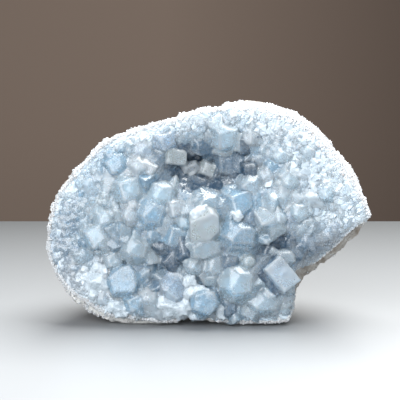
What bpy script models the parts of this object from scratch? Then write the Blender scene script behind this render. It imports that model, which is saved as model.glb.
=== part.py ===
"""Celestite geode half: a stone rind that stands on a small flat spot, lined with a crust of crystals.

Metres, +Z up. The crystals face -Y, +X is to the right as they are looked at.
The origin is on the table, under the middle of the whole piece.
"""

import math

import bmesh
import bpy
import numpy as np
from mathutils import Matrix, Vector, noise

MM = 0.001

# The broken rim seen from the front, clockwise from the far left: x to the right, z above the table, in mm.
RIM_OUTLINE = (
    (-69.7, 35.5), (-69.0, 44.4), (-66.0, 53.6), (-60.0, 62.8), (-53.4, 69.8), (-45.8, 77.4),
    (-39.8, 81.0), (-32.5, 82.8), (-15.5, 87.8), (4.3, 92.8), (24.4, 93.6), (35.0, 91.4),
    (41.0, 87.8), (47.8, 82.0), (52.2, 76.0), (64.4, 59.4), (67.0, 53.0), (69.7, 46.6),
    (66.6, 41.4), (57.0, 29.2), (50.6, 23.2), (42.1, 20.8), (37.4, 14.4), (36.6, 6.2),
    (34.4, 1.6), (19.8, 0.8), (6.0, 1.2), (-16.0, 1.2), (-38.3, 1.2), (-46.0, 2.4), (-54.6, 7.5),
    (-61.5, 13.5), (-66.2, 21.3), (-69.2, 29.0),
)
MIDDLE_X = 0.0
MIDDLE_Z = 46.0

# Depths in mm. The face is where the larger crystals end.
FACE_Y = -31.6  # at the foot of the face
FACE_LEAN = 0.13  # how far it goes back for each mm of height
FACE_ROUNDING = 7.0  # how far it falls back at the rim
FACE_ROUNDING_POWER = 5
FACE_FOLLOWED_TO = 1.1  # share of the way out up to which it goes on falling back
BACK_Y = 33.1
SEAT_DEPTH = 10.5  # from the face to the stone behind the crystals
SEAT_DEPTH_AT_RIM = 3.6
LAYER_DEPTH = 5.6  # from the face to the ground that the crystals stand on
LAYER_DEPTH_AT_RIM = 1.4
INSIDE_TO = 0.72  # share of the way out up to which the depths inside hold
RIM_FROM = 0.97  # share from which those at the rim hold
GAP = 0.4  # between the stone and the crust

# Hollows in the face: x, z, half width, half height, depth, in mm.
HOLLOWS = (
    (-1.0, 67.5, 19.0, 9.0, 13.0),
    (25.0, 34.5, 7.5, 5.0, 7.0),
    (-26.0, 26.0, 15.0, 9.0, 3.5),
)
# The broken side under the right tip: the face turns down and back past this line.
UNDERCUT_FROM = (70.0, 48.0)
UNDERCUT_TO = (33.0, 30.0)
UNDERCUT_SLOPE = 0.85
UNDERCUT_BLEND = 10  # mm over which it begins, to the right of its lower end

# The back.
SIDE_FULLNESS = 0.55  # the smaller, the longer the sides run straight back from the rim
TOP_SLOPE = 0.35  # how much sooner the top falls away than the sides
BACK_FLATNESS = 1.1
ROUND_FROM = 0.45  # share of the way from the rim to the middle of the back where it becomes plainly round
LUMPS = ((21, 5.0, 3.7), (9, 2.4, 8.1), (4.5, 1.2, 5.3))  # size, height and seed of each kind
LUMPS_SUNK = 1.6  # the lumps stay inside the rim's outline as it is seen from the front
LUMPS_FULL_FROM = 0.3  # radians round from the rim

# The underside.
UNDERSIDE_FULLNESS = 0.62  # how much later the bottom rises towards the back than the sides draw in
BELLY = 0.16  # how far the stone would reach below the table, as a share, before it is cut flat
BELLY_STEEPNESS = 3
DOWNWARD_RANGE = (0.15, 0.85)  # how far a direction points down where the underside begins and is full
ON_TABLE = 1e-7  # m
ARCH_X = -5.5
ARCH_HALF_WIDTH = 9.5
ARCH_HEIGHT = 4.2
ARCH_STRAIGHT = 6.0  # how far back it goes at its full height
ARCH_REACH = 16.0  # and how far from there until it has closed

RIND_AROUND = 56
RIND_RINGS = 24
SEAT_RINGS = 6  # of them, how many are in front of the rim

# The ground of the crust, in mm.
GROUND_DETAIL = 4  # subdivisions of its facets
GROUND_SPREAD = 1.0  # how far it goes past the edge that the crust is trimmed to
GROUND_EDGE_FROM = 0.47 * math.pi  # polar angle of the sphere it is made of where its edge begins
GROUND_BEHIND_SEAT = 3
FRONT_WITHIN = 1  # a point this close to the front of the ground belongs to its facets
FACET_SHIFT = 1.2
FACET_RISE = (-1.0, 0.5)
FACET_HEIGHT = 3.0
FACET_SHARE_MIDDLE = 1.3
FACET_SHARE_LOST = 0.7  # so much less at the rim

# The room that the crust is trimmed to, in mm.
ROOM_AROUND = 56
ROOM_RINGS = 8
ROOM_EDGE_FROM = 3 / 8 * math.pi
ROOM_IN_FRONT = 20
CRUST_INSET = 0.9
CRUST_INSET_BELOW = 3.0  # so much more where the stone shows between the crust and the rim
SHOWN_LOWER_LEFT = (-2.9, -2.5, -2.2, -1.9)  # angles where that begins, is full, starts to end and has ended
SHOWN_UNDER_TIP = (-0.75, -0.6, -0.12, 0.02)
LOWEST_CRYSTAL = 0.9

# The crystals that stand out, in mm and degrees: x, z, width, height, turn in the face, how far they
# stand proud of it, lean to the right, lean up, and form.
MAIN_CRYSTALS = (
    (-2.2, 44.5, 13.6, 15.4, 4, 5.0, 0.00, 0.10, "dome"),
    (29.6, 21.7, 12.0, 15.0, 40, 6.0, 0.08, 0.10, "slab"),
    (-2.6, 9.8, 15.5, 14.5, 10, 4.5, -0.05, -0.05, "dome"),
    (-8.2, 20.9, 5.4, 4.6, 15, 3.5, 0.00, 0.20, "block"),
    (12.5, 18.3, 15.0, 17.0, 0, 5.5, 0.00, 0.00, "dome"),
    (16.3, 28.2, 5.6, 5.0, 0, 2.0, 0.00, 0.10, "dome"),
    (-3.9, 25.4, 16.0, 11.0, -8, 1.5, 0.00, 0.10, "block"),
    (13.3, 38.5, 18.0, 10.5, -5, 2.0, 0.00, 0.10, "block"),
    (12.0, 54.0, 12.0, 9.5, 12, 0.0, 0.10, 0.15, "block"),
    (11.6, 48.8, 4.4, 4.0, 30, 2.0, 0.00, 0.20, "block"),
    (25.4, 44.1, 9.0, 12.0, 45, 2.0, -0.05, -0.05, "slab"),
    (6.5, 79.3, 9.6, 10.8, 0, 0.5, 0.00, -0.25, "slab"),
    (14.2, 75.9, 7.4, 10.0, -10, -2.0, -0.20, -0.30, "block"),
    (8.6, 68.2, 12.0, 12.0, 20, 2.0, -0.10, -0.15, "chisel"),
    (14.6, 66.0, 6.4, 6.4, 8, 1.0, -0.25, -0.10, "slab"),
    (-14.2, 71.6, 10.8, 7.4, -6, 1.0, 0.15, -0.10, "slab"),
    (-8.4, 67.3, 7.4, 5.6, 25, 3.5, 0.10, 0.10, "chisel"),
    (-0.9, 66.6, 7.4, 6.0, 10, 2.0, 0.05, 0.10, "slab"),
    (-18.5, 78.0, 7.4, 7.4, 20, 0.0, 0.10, -0.10, "block"),
    (-40.4, 69.0, 9.2, 8.0, 30, 1.0, -0.15, 0.10, "block"),
    (-30.1, 68.6, 9.5, 14.5, 28, 2.5, 0.10, 0.15, "chisel"),
    (-34.4, 58.7, 9.8, 9.6, 15, 1.0, -0.05, 0.10, "block"),
    (-21.0, 56.1, 9.6, 10.2, 0, 1.0, 0.00, 0.15, "block"),
    (-34.4, 47.9, 6.4, 10.0, 5, 2.0, -0.10, 0.10, "dome"),
    (-25.2, 48.2, 10.2, 12.0, -12, 2.0, 0.00, 0.10, "slab"),
    (-15.0, 51.0, 7.4, 8.4, 10, 1.0, 0.00, 0.15, "block"),
    (-48.6, 38.9, 10.0, 9.4, 25, 1.5, -0.15, 0.10, "block"),
    (-31.8, 33.3, 11.0, 9.6, -8, 2.5, -0.05, 0.05, "slab"),
    (-37.8, 20.4, 13.0, 10.4, 35, 2.5, -0.10, 0.05, "slab"),
    (-48.2, 20.4, 9.4, 12.0, 10, 1.0, -0.20, 0.10, "chisel"),
    (-32.2, 8.8, 8.6, 9.0, 15, 2.0, -0.05, -0.05, "block"),
    (-16.8, 9.4, 13.0, 8.4, -12, 2.5, 0.05, 0.05, "chisel"),
    (-2.6, 33.6, 15.0, 7.6, 5, 1.0, 0.00, 0.00, "block"),
    (22.8, 9.2, 15.0, 11.0, -10, 2.0, 0.05, -0.05, "block"),
    (7.2, 8.6, 6.6, 8.4, 10, 0.5, 0.00, -0.05, "block"),
    (-17.0, 29.0, 8.4, 9.4, 30, 0.5, 0.00, 0.00, "chisel"),
    (-14.0, 38.5, 9.0, 8.0, -20, 0.5, 0.05, 0.05, "block"),
    (34.0, 62.0, 10.0, 9.0, 15, 0.5, 0.10, 0.15, "block"),
    (42.0, 74.0, 9.0, 8.0, -20, 0.5, 0.15, 0.20, "block"),
    (38.0, 49.0, 9.0, 9.6, 10, 0.5, 0.15, 0.05, "chisel"),
    (50.0, 58.0, 9.0, 8.0, 40, 0.5, 0.20, 0.15, "block"),
)
CRYSTAL_LENGTH = 0.75  # of its larger side, besides the part that stands proud

# Forms of crystals of unit size: number of sides, how far the end is drawn in, how high it rises.
FORMS = {
    "dome": (8, 0.20, 0.20),
    "block": (6, 0.14, 0.16),
    "slab": (4, 0.08, 0.12),
    "chisel": (6, 0.12, 0.20),
}
ROOT_RADIUS = 0.42
END_RADIUS = 0.5
SHAFT = 0.8
SLAB_WIDENING = 1.3  # its four corners stand on the circle, so its sides would be narrow
CHISEL_EDGE = 0.25

# The crystals between them, in mm.
SMALL_COUNT = 62
SMALL_MIDDLE = 7.0
SMALL_RIM = 4.2
SMALL_SEED = 46
SMALL_OUT_TO = 0.93  # share of the face's area that they are spread over
SMALL_SIZES = (0.8, 1.2)
SMALL_PROUD = (-2.2, 0.2)
SMALL_LEAN_X = 0.35
SMALL_LEAN_Z = 0.3
SMALL_LEAN_OUT = 0.3  # more towards the rim
REACH_OF_MAIN = 0.45
REACH_OF_SMALL = 0.4
REACH_NEEDED = 0.34
CROWDED_KEPT = 0.004  # chance of a crystal where there is no room for one

STONE_COLOUR = (0.56, 0.52, 0.47)
STONE_ROUGHNESS = 0.9
CRYSTAL_COLOUR = (0.55, 0.68, 0.80)
CRYSTAL_ROUGHNESS = 0.2
CRYSTAL_TRANSMISSION = 0.3


def face_coordinates(x, z):
    """Share of the way from the middle to the rim, and the angle, of a point of the face."""
    angle = math.atan2(z - MIDDLE_Z, x - MIDDLE_X)
    distance = math.hypot(x - MIDDLE_X, z - MIDDLE_Z)
    return distance / rim_radius(angle), angle


def make_rim_table():
    """Angle and radius of each point of the rim about the middle of the face, in order of angle."""
    rows = []
    for x, z in RIM_OUTLINE:
        rows.append((math.atan2(z - MIDDLE_Z, x - MIDDLE_X), math.hypot(x - MIDDLE_X, z - MIDDLE_Z)))
    rows.sort()
    return [row[0] for row in rows], [row[1] for row in rows]


RIM_ANGLES, RIM_RADII = make_rim_table()


def rim_radius(angle):
    return float(np.interp(angle, RIM_ANGLES, RIM_RADII, period=2 * math.pi))


def smooth(low, high, value):
    share = min(max((value - low) / (high - low), 0.0), 1.0)
    return share * share * (3 - 2 * share)


def face_y(x, z):
    """Depth of the crystal face, in mm."""
    share, _ = face_coordinates(x, z)
    y = FACE_Y + FACE_LEAN * z + FACE_ROUNDING * min(share, FACE_FOLLOWED_TO) ** FACE_ROUNDING_POWER
    for hollow_x, hollow_z, half_width, half_height, depth in HOLLOWS:
        spread = ((x - hollow_x) / half_width) ** 2 + ((z - hollow_z) / half_height) ** 2
        y += depth * math.exp(-spread)
    along_x = UNDERCUT_TO[0] - UNDERCUT_FROM[0]
    along_z = UNDERCUT_TO[1] - UNDERCUT_FROM[1]
    above = (x - UNDERCUT_FROM[0]) * along_z - (z - UNDERCUT_FROM[1]) * along_x
    above /= math.hypot(along_x, along_z)
    right_of_it = smooth(UNDERCUT_TO[0], UNDERCUT_TO[0] + UNDERCUT_BLEND, x)
    y += UNDERCUT_SLOPE * max(-above, 0.0) * right_of_it
    return y


def seat_y(x, z):
    """Depth of the stone behind the crystals, in mm."""
    share, _ = face_coordinates(x, z)
    depth = SEAT_DEPTH + (SEAT_DEPTH_AT_RIM - SEAT_DEPTH) * smooth(INSIDE_TO, RIM_FROM, share)
    return face_y(x, z) + depth


def layer_y(x, z):
    """Depth of the grown-together ground that the crystals stand on, in mm."""
    share, _ = face_coordinates(x, z)
    depth = LAYER_DEPTH + (LAYER_DEPTH_AT_RIM - LAYER_DEPTH) * smooth(INSIDE_TO, RIM_FROM, share)
    return face_y(x, z) + depth


def downward(angle):
    """1 for a direction that points at the table, 0 for one that doesn't."""
    return smooth(*DOWNWARD_RANGE, -math.sin(angle))


def lump(x, y, z, size, height, seed):
    return height * noise.noise(Vector((x / size + seed, y / size, z / size)))


def rind_point(ring_share, angle):
    """One point of the stone: from the middle of its seat, over the rim, round to the middle of its back."""
    radius = rim_radius(angle)
    rim_at = SEAT_RINGS / RIND_RINGS
    if ring_share <= rim_at:
        share = ring_share / rim_at
        x = MIDDLE_X + share * radius * math.cos(angle)
        z = MIDDLE_Z + share * radius * math.sin(angle)
        return [x, seat_y(x, z), z]
    turn = (ring_share - rim_at) / (1 - rim_at) * math.pi / 2
    low = downward(angle)
    away_from_pole = 1 - smooth(ROUND_FROM, 1.0, turn / (math.pi / 2))
    shrink = math.cos(turn) ** (SIDE_FULLNESS + TOP_SLOPE * max(math.sin(angle), 0.0) * away_from_pole)
    reach = shrink ** (1 - UNDERSIDE_FULLNESS * low * away_from_pole)
    drop = 1 + BELLY * low * math.sin(min(turn * BELLY_STEEPNESS, math.pi / 2))
    rim_x = MIDDLE_X + radius * math.cos(angle)
    rim_z = MIDDLE_Z + radius * math.sin(angle)
    rim_y = seat_y(rim_x, rim_z)
    x = MIDDLE_X + reach * radius * math.cos(angle)
    y = rim_y + (BACK_Y - rim_y) * math.sin(turn) ** BACK_FLATNESS
    z = MIDDLE_Z + reach * drop * radius * math.sin(angle)
    rough = smooth(0.0, LUMPS_FULL_FROM, turn)
    swell = sum(lump(x, y, z, size, height, seed) for size, height, seed in LUMPS) - LUMPS_SUNK
    x += rough * swell * math.cos(angle) * shrink
    z += rough * swell * math.sin(angle) * shrink
    y += rough * swell * math.sin(turn)
    return [x, y, z]


def split_into_triangles(bm, faces):
    """Clips ears, because the other method can join two corners that an edge joins already."""
    bmesh.ops.triangulate(bm, faces=faces, quad_method="BEAUTY", ngon_method="EAR_CLIP")


def arch_height(x, y):
    """Height of the arch between the two feet, in mm."""
    across = (x - ARCH_X) / ARCH_HALF_WIDTH
    if abs(across) >= 1:
        return 0.0
    return ARCH_HEIGHT * (1 - across ** 2) * (1 - smooth(0.0, ARCH_REACH, y - FACE_Y - ARCH_STRAIGHT))


def build_rind(collection):
    bm = bmesh.new()
    bmesh.ops.create_uvsphere(bm, u_segments=RIND_AROUND, v_segments=RIND_RINGS, radius=1.0)
    for vertex in bm.verts:
        ring_share = math.acos(max(-1.0, min(1.0, vertex.co.z))) / math.pi
        x, y, z = rind_point(ring_share, math.atan2(vertex.co.y, vertex.co.x))
        z = max(z, arch_height(x, y))
        vertex.co = Vector((x, y, z)) * MM
    bmesh.ops.recalc_face_normals(bm, faces=bm.faces[:])
    flat = [face for face in bm.faces if max(vertex.co.z for vertex in face.verts) < ON_TABLE]
    base = bmesh.ops.dissolve_faces(bm, faces=flat, use_verts=True)["region"]
    split_into_triangles(bm, [face for face in bm.faces if face not in base])
    return finish_object(bm, "rind", collection, rind_material())


def within(begins, full, ends, ended, angle):
    """1 between the two inner angles, 0 outside the two outer ones."""
    return smooth(begins, full, angle) * (1 - smooth(ends, ended, angle))


def crust_edge(angle):
    """How far the crust stops short of the rim, in mm: more at the lower left and under the right tip."""
    shown = max(within(*SHOWN_LOWER_LEFT, angle), within(*SHOWN_UNDER_TIP, angle))
    return CRUST_INSET + CRUST_INSET_BELOW * shown


def lowest_crystal(x):
    return LOWEST_CRYSTAL + arch_height(x, FACE_Y)


def plate_point(polar, angle, front, back, spread, edge_from):
    """A point of a closed plate as wide as the crust, between two depths given for each x and z."""
    share = min(polar, math.pi - polar, edge_from) / edge_from
    radius = rim_radius(angle) - crust_edge(angle) + spread
    x = MIDDLE_X + share * radius * math.cos(angle)
    z = max(MIDDLE_Z + share * radius * math.sin(angle), lowest_crystal(x) - spread)
    through = smooth(edge_from, math.pi - edge_from, polar)
    return Vector((x, front(x, z) + (back(x, z) - front(x, z)) * through, z)) * MM


def shape_plate(bm, front, back, spread, edge_from):
    """Turns a unit sphere, its poles on Z, into such a plate, whose edge starts at that polar angle."""
    for vertex in bm.verts:
        polar = math.acos(max(-1.0, min(1.0, vertex.co.z)))
        vertex.co = plate_point(polar, math.atan2(vertex.co.y, vertex.co.x), front, back, spread, edge_from)
    bmesh.ops.recalc_face_normals(bm, faces=bm.faces[:])


def ground_back(x, z):
    return seat_y(x, z) + GROUND_BEHIND_SEAT


def far_in_front(x, z):
    return FACE_Y - ROOM_IN_FRONT


def far_behind(x, z):
    return BACK_Y


def make_ground(random):
    """The grown-together ground of the crust, its smallest crystals as facets."""
    bm = bmesh.new()
    bmesh.ops.create_icosphere(bm, subdivisions=GROUND_DETAIL, radius=1.0)
    shape_plate(bm, layer_y, ground_back, GROUND_SPREAD, GROUND_EDGE_FROM)
    for vertex in bm.verts:
        x, y, z = vertex.co / MM
        share, _ = face_coordinates(x, z)
        if y < layer_y(x, z) + FRONT_WITHIN and share < RIM_FROM:
            x += random.uniform(-FACET_SHIFT, FACET_SHIFT)
            z += random.uniform(-FACET_SHIFT, FACET_SHIFT)
            y += FACET_HEIGHT * random.uniform(*FACET_RISE) * (FACET_SHARE_MIDDLE - FACET_SHARE_LOST * share)
            vertex.co = Vector((x, y, z)) * MM
    return bm


def make_room():
    """The room that the crust may fill: inside the rim and above the table."""
    bm = bmesh.new()
    bmesh.ops.create_uvsphere(bm, u_segments=ROOM_AROUND, v_segments=ROOM_RINGS, radius=1.0)
    shape_plate(bm, far_in_front, far_behind, 0.0, ROOM_EDGE_FROM)
    split_into_triangles(bm, bm.faces[:])
    return bm


def crystal_form(bm, form):
    """Adds a crystal of unit width and height, standing along +Z, its end at 0 and its root at -1."""
    sides, drawn_in, rise = FORMS[form]
    made = bmesh.ops.create_cone(
        bm, cap_ends=True, segments=sides, radius1=ROOT_RADIUS, radius2=END_RADIUS, depth=SHAFT,
        matrix=Matrix.Translation((0, 0, SHAFT / 2 - 1)),
    )
    verts = made["verts"]
    if form == "slab":
        bmesh.ops.rotate(bm, verts=verts, cent=(0, 0, 0), matrix=Matrix.Rotation(math.pi / 4, 3, "Z"))
        bmesh.ops.scale(bm, verts=verts, vec=(SLAB_WIDENING, SLAB_WIDENING, 1.0))
    faces = {face for vertex in verts for face in vertex.link_faces}
    top = max(faces, key=lambda face: face.calc_center_median().z)
    bmesh.ops.inset_individual(bm, faces=[top], thickness=drawn_in, depth=rise)
    if form == "chisel":
        bmesh.ops.scale(bm, verts=top.verts[:], vec=(1.0, CHISEL_EDGE, 1.0))
        split_into_triangles(bm, [face for face in bm.faces if len(face.verts) == 4])


def add_crystal(crystals, x, z, width, height, turn, proud, lean_x, lean_z, form):
    bm = bmesh.new()
    crystal_form(bm, form)
    length = CRYSTAL_LENGTH * max(width, height) + max(proud, 0)
    outward = Vector((lean_x, -1.0, lean_z)).normalized()
    up = outward.cross(Vector((1, 0, 0))).normalized()
    right = up.cross(outward)
    frame = Matrix((right, up, outward)).transposed()
    spin = Matrix.Rotation(math.radians(turn), 3, "Z")
    end = Vector((x, face_y(x, z) - proud, z))
    for vertex in bm.verts:
        local = spin @ Vector((vertex.co.x * width, vertex.co.y * height, vertex.co.z * length))
        vertex.co = (end + frame @ local) * MM
    make_cutter(bm, "crystal", crystals)


def add_small_crystals(crystals, random):
    """Smaller crystals between the main ones, finer towards the rim."""
    places = [(row[0], row[1], REACH_OF_MAIN * min(row[2], row[3])) for row in MAIN_CRYSTALS]
    made = 0
    while made < SMALL_COUNT:
        angle = random.uniform(-math.pi, math.pi)
        share = math.sqrt(random.uniform(0, SMALL_OUT_TO))
        x = MIDDLE_X + share * rim_radius(angle) * math.cos(angle)
        z = MIDDLE_Z + share * rim_radius(angle) * math.sin(angle)
        size = SMALL_MIDDLE + (SMALL_RIM - SMALL_MIDDLE) * share ** 2
        size *= random.uniform(*SMALL_SIZES)
        crowded = any(math.hypot(x - px, z - pz) < reach + REACH_NEEDED * size for px, pz, reach in places)
        if crowded and random.uniform(0, 1) > CROWDED_KEPT:
            continue
        places.append((x, z, REACH_OF_SMALL * size))
        add_crystal(
            crystals, x, z, size, size * random.uniform(*SMALL_SIZES), random.uniform(0, 180),
            random.uniform(*SMALL_PROUD),
            random.uniform(-SMALL_LEAN_X, SMALL_LEAN_X) + SMALL_LEAN_OUT * share * math.cos(angle),
            random.uniform(-SMALL_LEAN_Z, SMALL_LEAN_Z) + SMALL_LEAN_OUT * share * math.sin(angle),
            ("block", "chisel")[made % 2],
        )
        made += 1


def outer_shell(bm):
    """Keeps only the outside: pockets shut in between crystals are filled."""
    unseen = set(bm.faces)
    shells = []
    while unseen:
        start = unseen.pop()
        shell = [start]
        queue = [start]
        while queue:
            face = queue.pop()
            for edge in face.edges:
                if len(edge.link_faces) > 2:
                    continue
                for other in edge.link_faces:
                    if other in unseen:
                        unseen.remove(other)
                        shell.append(other)
                        queue.append(other)
        shells.append(shell)
    keep = max(shells, key=len)
    spare = [face for shell in shells if shell is not keep for face in shell]
    bmesh.ops.delete(bm, geom=spare, context="FACES")


def apply_boolean(item, others, operation):
    """Joins or cuts with everything in a collection, keeps the result as the mesh and removes the others."""
    step = item.modifiers.new(operation, "BOOLEAN")
    step.operation = operation
    step.solver = "EXACT"
    step.operand_type = "COLLECTION"
    step.collection = others
    result = bpy.data.meshes.new_from_object(item.evaluated_get(bpy.context.evaluated_depsgraph_get()))
    item.modifiers.remove(step)
    old = item.data
    item.data = result
    result.name = item.name
    bpy.data.meshes.remove(old)
    for other in list(others.objects):
        bpy.data.objects.remove(other)


def make_cutter(bm, name, cutters):
    bmesh.ops.recalc_face_normals(bm, faces=bm.faces[:])
    cutter = finish_object(bm, name, cutters, crystal_material())
    cutter.hide_render = True
    cutter.display_type = "WIRE"


def swollen_copy(item, cutters):
    """The stone grown by the gap all round, which cuts the back of the crust."""
    bm = bmesh.new()
    bm.from_mesh(item.data)
    bm.normal_update()
    grown = [vertex.co + vertex.normal * GAP * MM for vertex in bm.verts]
    for vertex, place in zip(bm.verts, grown):
        vertex.co = place
    make_cutter(bm, "stone_with_gap", cutters)


def build_crust(rind, collection, cutters):
    """Ground and crystals are joined, then trimmed to the rim, the table and the stone's seat."""
    random = np.random.default_rng(SMALL_SEED)
    crust = finish_object(make_ground(random), "crystal_crust", collection, crystal_material())
    for row in MAIN_CRYSTALS:
        add_crystal(cutters, *row)
    add_small_crystals(cutters, random)
    apply_boolean(crust, cutters, "UNION")
    make_cutter(make_room(), "room", cutters)
    apply_boolean(crust, cutters, "INTERSECT")
    swollen_copy(rind, cutters)
    apply_boolean(crust, cutters, "DIFFERENCE")
    bm = bmesh.new()
    bm.from_mesh(crust.data)
    outer_shell(bm)
    split_into_triangles(bm, bm.faces[:])
    bm.to_mesh(crust.data)
    bm.free()
    return crust


def make_material(name, color, roughness, transmission=0.0):
    material = bpy.data.materials.new(name)
    material.use_nodes = True
    shader = material.node_tree.nodes["Principled BSDF"]
    shader.inputs["Base Color"].default_value = (*color, 1.0)
    shader.inputs["Roughness"].default_value = roughness
    shader.inputs["Metallic"].default_value = 0.0
    shader.inputs["Transmission Weight"].default_value = transmission
    return material


def rind_material():
    return make_material("rind_stone", STONE_COLOUR, STONE_ROUGHNESS)


def crystal_material():
    if "celestite" in bpy.data.materials:
        return bpy.data.materials["celestite"]
    return make_material("celestite", CRYSTAL_COLOUR, CRYSTAL_ROUGHNESS, CRYSTAL_TRANSMISSION)


def finish_object(bm, name, collection, material):
    mesh = bpy.data.meshes.new(name)
    bm.to_mesh(mesh)
    bm.free()
    mesh.materials.append(material)
    item = bpy.data.objects.new(name, mesh)
    collection.objects.link(item)
    return item


def make_collection(name):
    collection = bpy.data.collections.new(name)
    bpy.context.scene.collection.children.link(collection)
    return collection


def main():
    for item in list(bpy.data.objects):
        bpy.data.objects.remove(item)
    parts = make_collection("celestite_geode")
    cutters = make_collection("cutters")
    rind = build_rind(parts)
    build_crust(rind, parts, cutters)


main()
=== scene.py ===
import math

import bmesh
import bpy
import numpy as np
from mathutils import Matrix, Vector, noise
from mathutils.bvhtree import BVHTree


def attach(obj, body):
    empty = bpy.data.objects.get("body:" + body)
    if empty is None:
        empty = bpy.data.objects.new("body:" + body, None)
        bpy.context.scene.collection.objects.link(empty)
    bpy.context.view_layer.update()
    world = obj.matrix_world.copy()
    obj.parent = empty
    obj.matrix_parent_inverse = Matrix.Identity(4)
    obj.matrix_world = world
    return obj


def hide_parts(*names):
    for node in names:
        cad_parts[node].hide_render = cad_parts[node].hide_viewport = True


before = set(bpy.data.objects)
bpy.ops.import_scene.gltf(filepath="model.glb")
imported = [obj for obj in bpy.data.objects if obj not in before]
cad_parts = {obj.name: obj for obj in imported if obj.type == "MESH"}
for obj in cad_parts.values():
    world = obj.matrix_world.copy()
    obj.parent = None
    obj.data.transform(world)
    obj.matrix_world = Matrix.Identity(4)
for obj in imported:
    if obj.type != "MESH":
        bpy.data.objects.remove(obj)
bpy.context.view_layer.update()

# celestite geode: rough stone behind, a crust of pale blue crystals in front
mm = 0.001    # places and sizes are in mm, but those of the studio and the bump distances are in m

# the form that everything stands on, the same as the solids'
form = {
    "rim": (
        (-69.7, 35.5), (-69.0, 44.4), (-66.0, 53.6), (-60.0, 62.8), (-53.4, 69.8), (-45.8, 77.4),
        (-39.8, 81.0), (-32.5, 82.8), (-15.5, 87.8), (4.3, 92.8), (24.4, 93.6), (35.0, 91.4),
        (41.0, 87.8), (47.8, 82.0), (52.2, 76.0), (64.4, 59.4), (67.0, 53.0), (69.7, 46.6),
        (66.6, 41.4), (57.0, 29.2), (50.6, 23.2), (42.1, 20.8), (37.4, 14.4), (36.6, 6.2),
        (34.4, 1.6), (19.8, 0.8), (6.0, 1.2), (-16.0, 1.2), (-38.3, 1.2), (-46.0, 2.4), (-54.6, 7.5),
        (-61.5, 13.5), (-66.2, 21.3), (-69.2, 29.0),
    ),
    "middle": (0.0, 46.0),
    "faceY": -31.6,                  # where the larger crystals end, at the foot
    "faceLean": 0.13,                # how far it goes back for each mm of height
    "faceRounding": 7.0,             # how far it falls back at the rim
    "roundingPower": 5,
    "followedTo": 1.1,               # share of the way out up to which it goes on falling back
    "hollows": (                     # x, z, half width, half height, depth
        (-1.0, 67.5, 19.0, 9.0, 13.0), (25.0, 34.5, 7.5, 5.0, 7.0), (-26.0, 26.0, 15.0, 9.0, 3.5),
    ),
    "undercutFrom": (70.0, 48.0),
    "undercutTo": (33.0, 30.0),
    "undercutSlope": 0.85,
    "undercutBlend": 10,
    "seatDepth": (10.5, 3.6),        # stone behind the face: inside, at the rim
    "groundDepth": (4.4, 1.4),       # ground of the crystals behind the face: inside, at the rim
    "depthChange": (0.72, 0.97),     # shares of the way out between which one turns into the other
    "archX": -5.5,
    "archHalfWidth": 9.5,
    "archHeight": 4.2,
    "lowest": 0.9,                   # the crust stays this far off the table
    # angles between which the stone shows: it begins, is full, starts to end and has ended
    "bareUnderTip": (-0.9, -0.7, -0.1, 0.0),
    "crustShort": 0.9,               # the crust stops this far short of the rim
    # and so much more between these angles: at the lower left, under the right tip
    "crustShorter": (((-2.9, -2.5, -2.2, -1.9), 3.0), ((-0.75, -0.6, -0.12, 0.02), 5.0)),
}

# colours as the eye sees them, 0 to 1
colours = {
    "ice": (0.81, 0.90, 0.95),
    "sky": (0.66, 0.81, 0.91),
    # steel and deep are partly the crystals' own blue and partly painted shade
    "steelBlueAndShade": (0.42, 0.56, 0.67),
    "deepBlueAndShade": (0.25, 0.38, 0.49),
    "lavender": (0.76, 0.85, 0.94),
    # grey is partly the crystals' own tone and partly painted shade under the right tip
    "greyAndShade": (0.70, 0.73, 0.77),
    "green": (0.87, 0.92, 0.91),
    "greyGreen": (0.80, 0.86, 0.87),
    "white": (0.84, 0.88, 0.91),
    "snow": (0.71, 0.77, 0.81),
    "pale": (0.80, 0.87, 0.93),
    "clear": (0.80, 0.88, 0.93),
    "frost": (0.90, 0.93, 0.95),
    "whiteGrain": (0.93, 0.94, 0.95),
    "greyGrain": (0.78, 0.73, 0.70),
}


# 0 up to low, 1 from high on
def spread(low, high, value):
    share = np.clip((value - low) / (high - low), 0.0, 1.0)
    return share * share * (3 - 2 * share)


def between(angle, limits):
    return spread(limits[0], limits[1], angle) * (1 - spread(limits[2], limits[3], angle))


# soft round patches, each with x, z, half width, half height and how much
def zonesAt(x, z, patches):
    level = np.zeros_like(x)
    for zoneX, zoneZ, halfWidth, halfHeight, much in patches:
        level = level + much * np.exp(-((x - zoneX) / halfWidth) ** 2 - ((z - zoneZ) / halfHeight) ** 2)
    return level


def noiseAt(points, size, shift=(0, 0, 0)):
    shift = Vector(shift)
    return np.array([noise.noise(Vector(point) / size + shift) for point in points])


def linear(colour):
    return tuple(c / 12.92 if c <= 0.04045 else ((c + 0.055) / 1.055) ** 2.4 for c in colour)


def tintOf(name):
    return np.array(linear(colours[name]))


rimXZ = np.array(form["rim"]) - np.array(form["middle"])
rimAngles = np.arctan2(rimXZ[:, 1], rimXZ[:, 0])
rimOrder = np.argsort(rimAngles)
rimAngles = rimAngles[rimOrder]
rimRadii = np.hypot(rimXZ[:, 0], rimXZ[:, 1])[rimOrder]


def rimRadius(angle):
    return np.interp(angle, rimAngles, rimRadii, period=2 * math.pi)


def angleAt(x, z):
    return np.arctan2(z - form["middle"][1], x - form["middle"][0])


# share of the way from the middle of the face to its rim
def rimShare(x, z):
    return np.hypot(x - form["middle"][0], z - form["middle"][1]) / rimRadius(angleAt(x, z))


def fromMiddle(angle, radius):
    return form["middle"][0] + radius * np.cos(angle), form["middle"][1] + radius * np.sin(angle)


# how far from the middle the crust ends: it stops shorter at the lower left and under the right tip
def crustRadius(angle):
    short = form["crustShort"]
    for limits, more in form["crustShorter"]:
        short = short + more * between(angle, limits)
    return rimRadius(angle) - short


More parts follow.
